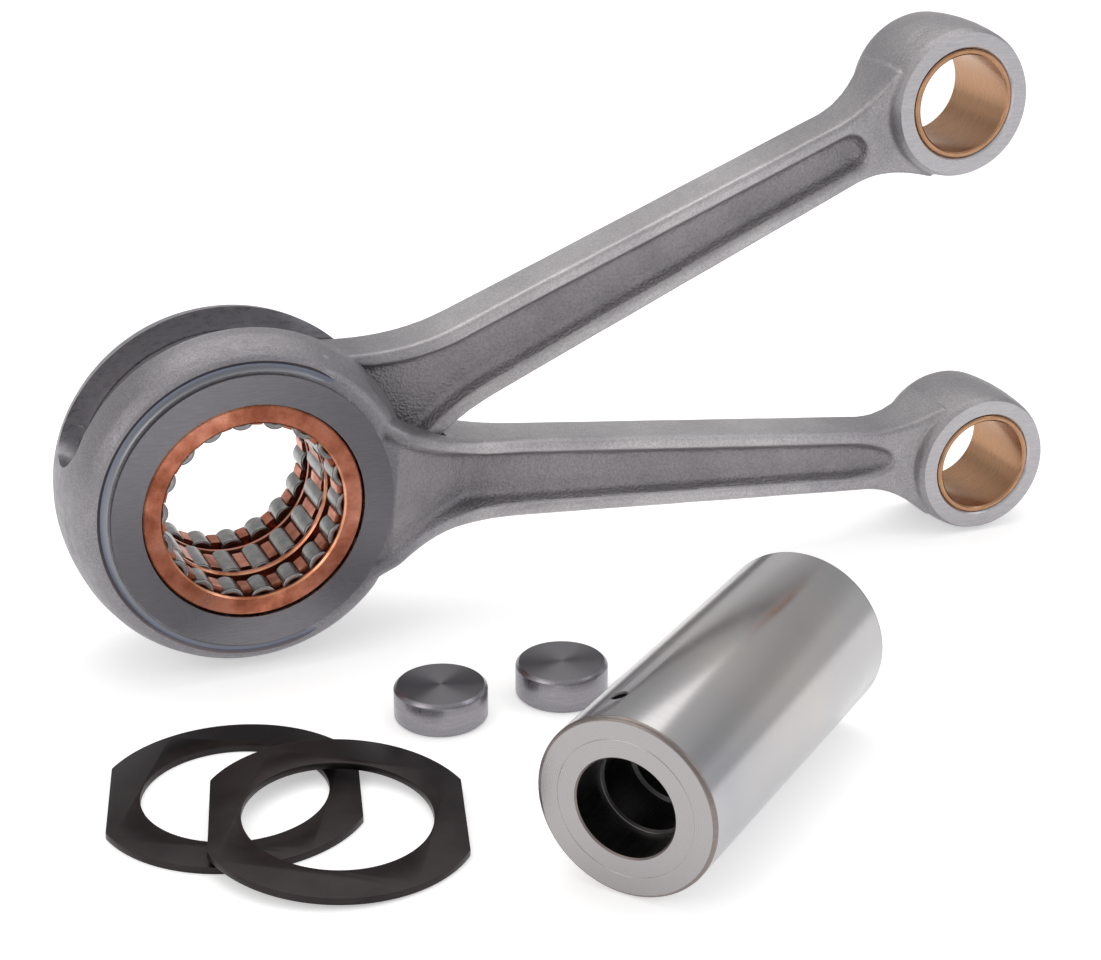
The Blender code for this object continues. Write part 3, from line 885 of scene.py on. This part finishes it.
def cage_mesh(name, half, front_ring, rear_ring, front_bore, rear_bore, pocket_half, pocket_shift):
    """Turned copper sleeve with roller pockets and an inward lug between each two rollers."""
    edge = 0.4
    inner = SLEEVE_BORE_RADIUS
    profile = [
        (front_bore + edge, -half),
        (CAGE_RADIUS - edge, -half),
        (CAGE_RADIUS, -half + edge),
        (CAGE_RADIUS, half - edge),
        (CAGE_RADIUS - edge, half),
        (rear_bore + edge, half),
        (rear_bore, half - edge),
        (rear_bore, half - rear_ring),
        (inner, half - rear_ring),
        (inner, -half + front_ring),
        (front_bore, -half + front_ring),
        (front_bore, -half + edge),
    ]
    cage = finish_bmesh(name, turned(profile, 180))
    give_slots(cage, ["copper", "copper_edge"])
    for polygon in cage.data.polygons:
        is_chamfer = 0.3 < abs(polygon.normal.y) < 0.9
        polygon.material_index = int(is_chamfer)
    cut_pockets(cage, pocket_half, pocket_shift)
    sharpen(cage, 30.0)
    return cage


def cut_pockets(cage, pocket_half, pocket_shift):
    """Adds the lugs to a sleeve, then cuts the roller pockets between them."""
    lugs = bmesh.new()
    pockets = bmesh.new()
    radius = ROLLER_RADIUS + POCKET_PLAY
    centre = (ROLLER_PITCH_RADIUS, 0.0)
    beyond = CAGE_RADIUS + 2
    outline = arc(radius, 90.0, 270.0, 20, centre) + [(beyond, -radius), (beyond, radius)]
    low, high = pocket_shift - pocket_half, pocket_shift + pocket_half
    lug = [(19.75, -1.0), (20.0, -1.25), (23.6, -1.7), (23.6, 1.7), (20.0, 1.25), (19.75, 1.0)]
    lug_inset = (high - low) * 0.17
    for index in range(ROLLERS_PER_ROW):
        turn = Matrix.Rotation(-2 * math.pi * index / ROLLERS_PER_ROW, 4, "Y")
        between = Matrix.Rotation(-2 * math.pi * (index + 0.5) / ROLLERS_PER_ROW, 4, "Y")
        prism(lug, low + lug_inset, high - lug_inset, lugs, between)
        prism(outline, low, high, pockets, turn)
    cut(cage, finish_bmesh("lugs", lugs), "UNION")
    cut(cage, finish_bmesh("pockets", pockets))


def row_place(place, node):
    """The rod's placement, moved along the axis to the middle of a row."""
    shift = box_centre(node).y - place.translation.y
    return Matrix.Translation((0, shift, 0)) @ place


def make_row(row, place, body, roller_length, shift, cage, nodes):
    """Places a cage and its rollers. nodes are the CAD rollers they stand for."""
    first = roller_mesh(f"{row}_roller_piece_01", roller_length)
    for index in range(ROLLERS_PER_ROW):
        roller = first
        if index:
            roller = bpy.data.objects.new(f"{row}_roller_piece_{index + 1:02d}", first.data)
            bpy.context.scene.collection.objects.link(roller)
        turn = Matrix.Rotation(-2 * math.pi * index / ROLLERS_PER_ROW, 4, "Y")
        matrix = place @ turn @ Matrix.Translation((ROLLER_PITCH_RADIUS * MM, shift * MM, 0))
        place_on(roller, matrix, body, *nodes[index])
    place_on(cage, place, body, f"{row}_cage")


def roller_nodes(row):
    return [(f"{row}_roller_{index + 1:02d}",) for index in range(ROLLERS_PER_ROW)]


def make_rows():
    side_pocket = SIDE_ROLLER_LENGTH / 2 + 0.2
    shift = SIDE_ROW_SHIFT
    low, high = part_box("front_cage")
    half_side = (high.y - low.y) / 2 / MM
    front = cage_mesh("front_cage_piece", half_side, 1.1, 1.3, 20.8, 22.7, side_pocket, -shift)
    rear = cage_mesh("rear_cage_piece", half_side, 1.3, 1.1, 22.7, 20.8, side_pocket, shift)
    middle_pocket = MIDDLE_ROLLER_LENGTH / 2 + 0.2
    middle = cage_mesh("middle_cage_piece", BLADE_HALF_WIDTH, 1.3, 1.3, 19.7, 19.7, middle_pocket, 0.0)
    joined = [("rear_rollers",)] + [()] * (ROLLERS_PER_ROW - 1)
    front_place = row_place(FORK_PLACE, "front_cage")
    rear_place = row_place(FORK_PLACE, "rear_cage")
    side_length, middle_length = SIDE_ROLLER_LENGTH, MIDDLE_ROLLER_LENGTH
    make_row("front", front_place, "front_row", side_length, -shift, front, roller_nodes("front"))
    make_row("middle", BLADE_PLACE, "middle_row", middle_length, 0.0, middle, roller_nodes("middle"))
    make_row("rear", rear_place, "rear_row", side_length, shift, rear, joined)


# ---------------------------------------------------------------- loose parts


def oil_hole_cutter():
    """A radial drill with a countersink, from the pin's bore out through its barrel."""
    around = Matrix.Rotation(math.radians(OIL_HOLE_TURN), 4, "Y")
    along = Matrix.Translation((0, OIL_HOLE_FROM_END, 0))
    across = around @ along @ Matrix.Rotation(math.radians(90), 4, "X")
    mouth_start = PIN_RADIUS - 0.35
    profile = [
        (0.0, 5.0),
        (OIL_HOLE_RADIUS, 5.0),
        (OIL_HOLE_RADIUS, mouth_start),
        (OIL_HOLE_MOUTH_RADIUS, mouth_start + 0.5),
        (OIL_HOLE_MOUTH_RADIUS, 25.0),
        (0.0, 25.0),
    ]
    return finish_bmesh("oil_hole", turned(profile, 32, matrix=across))


def make_crankpin():
    """The hollow pin, along +Y from its near face."""
    mouth = [
        (0.0, 31.0),
        (5.6, 27.6),
        (8.6, 27.6),
        (8.6, 21.0),
        (9.6, 20.8),
        (9.6, 10.2),
        (10.3, 10.15),
        (10.45, 10.0),
        (10.45, 0.35),
        (10.8, 0.0),
        (14.4, 0.0),
        (14.5, 0.05),
        (14.6, 0.0),
        (PIN_RADIUS - PIN_EDGE, 0.0),
    ]
    round_edge = arc(PIN_EDGE, 0.0, 90.0, 5)
    near_edge = [(PIN_RADIUS - PIN_EDGE + z, PIN_EDGE - x) for x, z in round_edge][1:]
    near_half = mouth + near_edge
    far_half = [(radius, PIN_LENGTH - y) for radius, y in reversed(near_half)]
    pin = finish_bmesh("crankpin_piece", turned(near_half + far_half, 256), 20.0)
    give_slots(pin, PIN_SLOTS)
    for polygon in pin.data.polygons:
        centre = polygon.center / MM
        radius = math.hypot(centre.x, centre.z)
        from_end = min(centre.y, PIN_LENGTH - centre.y)
        # The bore walls take the dark bore steel: painted shade inside the bore.
        if radius < 10.6 and from_end > 0.2:
            polygon.material_index = PIN_SLOTS.index("bore")
        elif from_end < 0.04:
            polygon.material_index = PIN_SLOTS.index("pin_face")
        elif from_end < 1.0:
            polygon.material_index = PIN_SLOTS.index("pin_edge")
    # The oil hole's walls take the dark bore steel: painted shade inside the hole.
    cut(pin, oil_hole_cutter(), slot_index=PIN_SLOTS.index("bore"))
    sharpen(pin, 20.0)
    mount = MOUNTS["crankpin_near_face"]
    inward = -Vector(mount["axis"])
    near_end = box_centre("crankpin") - inward * (PIN_LENGTH / 2 * MM)
    sideways = inward.cross(Vector((0, 0, 1)))
    place_on(pin, axes_matrix(near_end, sideways, inward), "crankpin_body", "crankpin")


def make_plug(number):
    """A turned closing plug, standing on its end."""
    node = f"crankpin_plug_{number}"
    half = PLUG_HALF_HEIGHT
    profile = [
        (0.0, -half),
        (PLUG_RADIUS - 0.78, -half),
        (PLUG_RADIUS - 0.75, -half),
        (PLUG_RADIUS - 0.1, -half + 0.65),
        (PLUG_RADIUS, -half + 0.9),
    ]
    upright = Matrix.Rotation(math.radians(90), 4, "X")
    plug = finish_bmesh(node + "_piece", turned(mirrored(profile), 128, matrix=upright), 25.0)
    give_slots(plug, ["plug_side", "plug_face"])
    for polygon in plug.data.polygons:
        if abs(polygon.normal.z) > 0.9:
            polygon.material_index = 1
    place_on(plug, Matrix.Translation(box_centre(node)), f"plug_{number}_body", node)


def washer_outline():
    """A circle with two flats across it."""
    corner = math.degrees(math.acos(WASHER_HALF_FLATS / WASHER_RADIUS))
    right = arc(WASHER_RADIUS, corner, 180.0 - corner, 48)
    left = arc(WASHER_RADIUS, 180.0 + corner, 360.0 - corner, 48)
    return right + left


def washer_place(node):
    """Placement read from the CAD washer: its top face and one of its flats."""
    mesh = frame["nodes"][node].data
    top = Vector()
    for polygon in mesh.polygons:
        if polygon.normal.z > 0.9:
            top += polygon.normal * polygon.area
    top.normalize()
    sides = [polygon for polygon in mesh.polygons if abs(polygon.normal.dot(top)) < 0.1]
    flat = max(sides, key=lambda polygon: polygon.area).normal
    heights = [vertex.co.dot(top) for vertex in mesh.vertices]
    centre = sum((vertex.co for vertex in mesh.vertices), Vector()) / len(mesh.vertices)
    centre += top * ((min(heights) + max(heights)) / 2 - centre.dot(top))
    return axes_matrix(centre, flat, top.cross(flat))


def make_washer(node, body):
    bm = bmesh.new()
    half = WASHER_THICKNESS / 2
    lay_flat = Matrix.Rotation(math.radians(90), 4, "X")
    prism(washer_outline(), -half, half, bm, lay_flat)
    washer = finish_bmesh(node + "_piece", bm, 25.0)
    give_slots(washer, ["oxide"])
    hole = [(0.0, -4.0), (WASHER_HOLE_RADIUS, -4.0), (WASHER_HOLE_RADIUS, 4.0), (0.0, 4.0)]
    cut(washer, finish_bmesh("hole", turned(hole, 192, matrix=lay_flat)))
    bevel = washer.modifiers.new("edges", "BEVEL")
    bevel.width = 0.16 * MM
    bevel.segments = 2
    bevel.angle_limit = math.radians(50)
    apply_modifiers(washer)
    sharpen(washer, 30.0)
    place_on(washer, washer_place(node), body, node)


# ---------------------------------------------------------------- studio


def add_light(name, location, target, size, energy, color):
    """A rectangular softbox that faces its target."""
    data = bpy.data.lights.new(name, "AREA")
    data.color = color
    data.shape = "RECTANGLE"
    data.size, data.size_y = size
    data.energy = energy
    light = bpy.data.objects.new(name, data)
    light.location = location
    light.rotation_euler = (Vector(target) - Vector(location)).to_track_quat("-Z", "Y").to_euler()
    bpy.context.scene.collection.objects.link(light)


def make_floor():
    """A pale paper floor, which glows a little so that it stays white."""
    bm = bmesh.new()
    bmesh.ops.create_grid(bm, x_segments=1, y_segments=1, size=FLOOR_SIZE)
    floor = finish_bmesh("floor", bm)
    floor.location.z = -FLOOR_GAP * MM
    paper = bpy.data.materials.new("paper")
    paper.use_nodes = True
    shader = paper.node_tree.nodes["Principled BSDF"]
    shader.inputs["Base Color"].default_value = (0.85, 0.85, 0.85, 1.0)
    shader.inputs["Roughness"].default_value = 0.9
    shader.inputs["Emission Color"].default_value = (1.0, 1.0, 1.0, 1.0)
    shader.inputs["Emission Strength"].default_value = FLOOR_GLOW
    floor.data.materials.append(paper)


def make_sky():
    """A grey studio room, which the polished faces mirror: a darker band between two light ones."""
    world = bpy.data.worlds.new("studio")
    bpy.context.scene.world = world
    world.use_nodes = True
    nodes = world.node_tree.nodes
    background = nodes["Background"]
    coordinates = nodes.new("ShaderNodeTexCoord")
    split = nodes.new("ShaderNodeSeparateXYZ")
    ramp = nodes.new("ShaderNodeValToRGB")
    set_stops(ramp, [(position, (value,) * 3) for position, value in SKY_STOPS])
    links = world.node_tree.links
    links.new(coordinates.outputs["Generated"], split.inputs[0])
    links.new(split.outputs["Z"], ramp.inputs["Fac"])
    links.new(ramp.outputs["Color"], background.inputs["Color"])
    background.inputs["Strength"].default_value = SKY_STRENGTH


def make_studio():
    make_floor()
    for softbox in SOFTBOXES:
        add_light(*softbox)
    make_sky()
    bpy.context.scene.view_settings.view_transform = "Standard"


def make_camera():
    """The viewing angle: from the front left of the rods, looking down at them."""
    data = bpy.data.cameras.new("camera")
    data.sensor_width = CAMERA_SENSOR
    data.lens = CAMERA_LENS
    camera = bpy.data.objects.new("camera", data)
    camera.location = CAMERA_LOCATION
    camera.rotation_euler = (math.radians(90 - CAMERA_TILT), 0.0, math.radians(CAMERA_TURN))
    bpy.context.scene.collection.objects.link(camera)
    bpy.context.scene.camera = camera


def main():
    make_camera()
    make_studio()
    make_fork_rod()
    make_blade_rod()
    eye_shift = Matrix.Translation((CENTRE_DISTANCE * MM, 0, 0))
    make_bushing("fork_pin_bushing_piece", FORK_PLACE @ eye_shift, "fork", "fork_pin_bushing")
    make_bushing("blade_pin_bushing_piece", BLADE_PLACE @ eye_shift, "blade", "blade_pin_bushing")
    make_rows()
    make_crankpin()
    make_plug(1)
    make_plug(2)
    make_washer("thrust_washer_lower", "lower_washer_body")
    make_washer("thrust_washer_upper", "upper_washer_body")


main()
